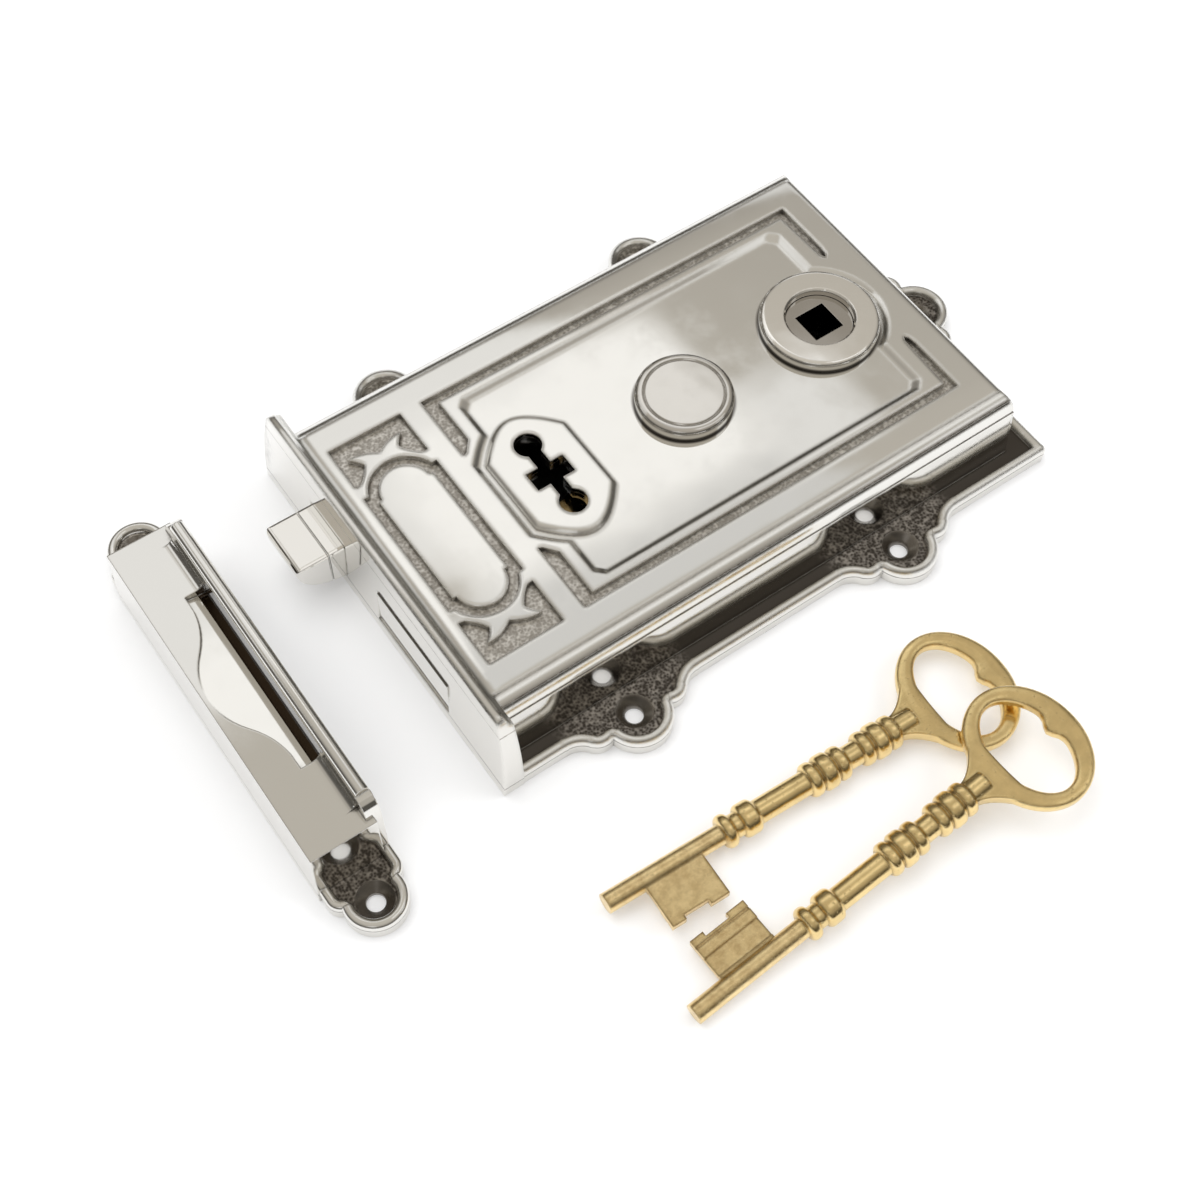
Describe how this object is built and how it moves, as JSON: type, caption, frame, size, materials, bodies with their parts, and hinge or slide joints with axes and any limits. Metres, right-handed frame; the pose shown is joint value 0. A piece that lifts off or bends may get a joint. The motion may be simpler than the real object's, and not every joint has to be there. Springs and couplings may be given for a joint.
{
  "type": "rim box lock",
  "caption": "Surface-mounted rim box lock with ornamented cast case, scalloped fixing ears, sprung latch bolt, key-thrown deadbolt, matching box keep and loose lever keys.",
  "frame": {"origin": "middle of the lock's back face, on the face of the door", "axes": "+X from the forend to the tail, +Y to the side that the latch bolt is on, +Z out of the door"},
  "size_m": [0.211, 0.1847, 0.0265],
  "materials": {
    "polished_nickel": "mirror polished nickel plate",
    "brass": "polished cast brass",
    "steel": "plain rolled steel"
  },
  "bodies": {
    "lock": {"case": "polished_nickel", "back_plate": "steel", "back_plate_screws": "steel", "collar": "polished_nickel", "button": "polished_nickel", "lever_post": "brass", "lever_spacer": "brass", "bolt_guide_pin": "brass", "latch_spring": "steel"},
    "follower": {"follower": "polished_nickel"},
    "latch_bolt": {"latch_bolt": "polished_nickel"},
    "deadbolt": {"deadbolt": "polished_nickel", "bolt_stump": "brass"},
    "lever_1": {"lever_1": "brass", "lever_spring_1": "steel"},
    "lever_2": {"lever_2": "brass", "lever_spring_2": "steel"},
    "keep": {"keep": "polished_nickel"},
    "key_back": {"key_back": "brass"},
    "key_front": {"key_front": "brass"}
  },
  "joints": [
    {"name": "follower_turn", "type": "hinge", "parent": "lock", "child": "follower", "pos_m": [0.0478, 0, 0.0095], "axis": [0, 0, -1], "range_deg": [0, 45.02]},
    {"name": "latch_slide", "type": "slide", "parent": "lock", "child": "latch_bolt", "axis": [1, 0, 0], "range_m": [0, 0.012], "stiffness_N_per_m": 400, "deforming": ["latch_spring"]},
    {"name": "deadbolt_slide", "type": "slide", "parent": "lock", "child": "deadbolt", "axis": [-1, 0, 0], "range_m": [0, 0.012]},
    {"name": "lever_1_lift", "type": "hinge", "parent": "lock", "child": "lever_1", "pos_m": [0.014, -0.0143, 0.0089], "axis": [0, 0, 1], "range_deg": [0, 4.01], "deforming": ["lever_spring_1"]},
    {"name": "lever_2_lift", "type": "hinge", "parent": "lock", "child": "lever_2", "pos_m": [0.014, -0.0143, 0.0113], "axis": [0, 0, 1], "range_deg": [0, 4.01], "deforming": ["lever_spring_2"]},
    {"name": "keep_close", "type": "slide", "parent": "lock", "child": "keep", "axis": [0.9843, 0.1765, 0], "range_m": [0, 0.0255]},
    {"name": "key_back_lift", "type": "slide", "parent": "lock", "child": "key_back", "axis": [0, 0, 1], "range_m": [0, 0.06]},
    {"name": "key_front_lift", "type": "slide", "parent": "key_back", "child": "key_front", "axis": [0, 0, 1], "range_m": [0, 0.06]}
  ],
  "couplings": [
    {"joint": "follower_turn", "follows": "latch_slide", "rad_per_m": 65.45},
    {"joint": "lever_1_lift", "follows": "deadbolt_slide", "rad_per_m": 5.8178},
    {"joint": "lever_2_lift", "follows": "deadbolt_slide", "rad_per_m": 5.8178}
  ]
}
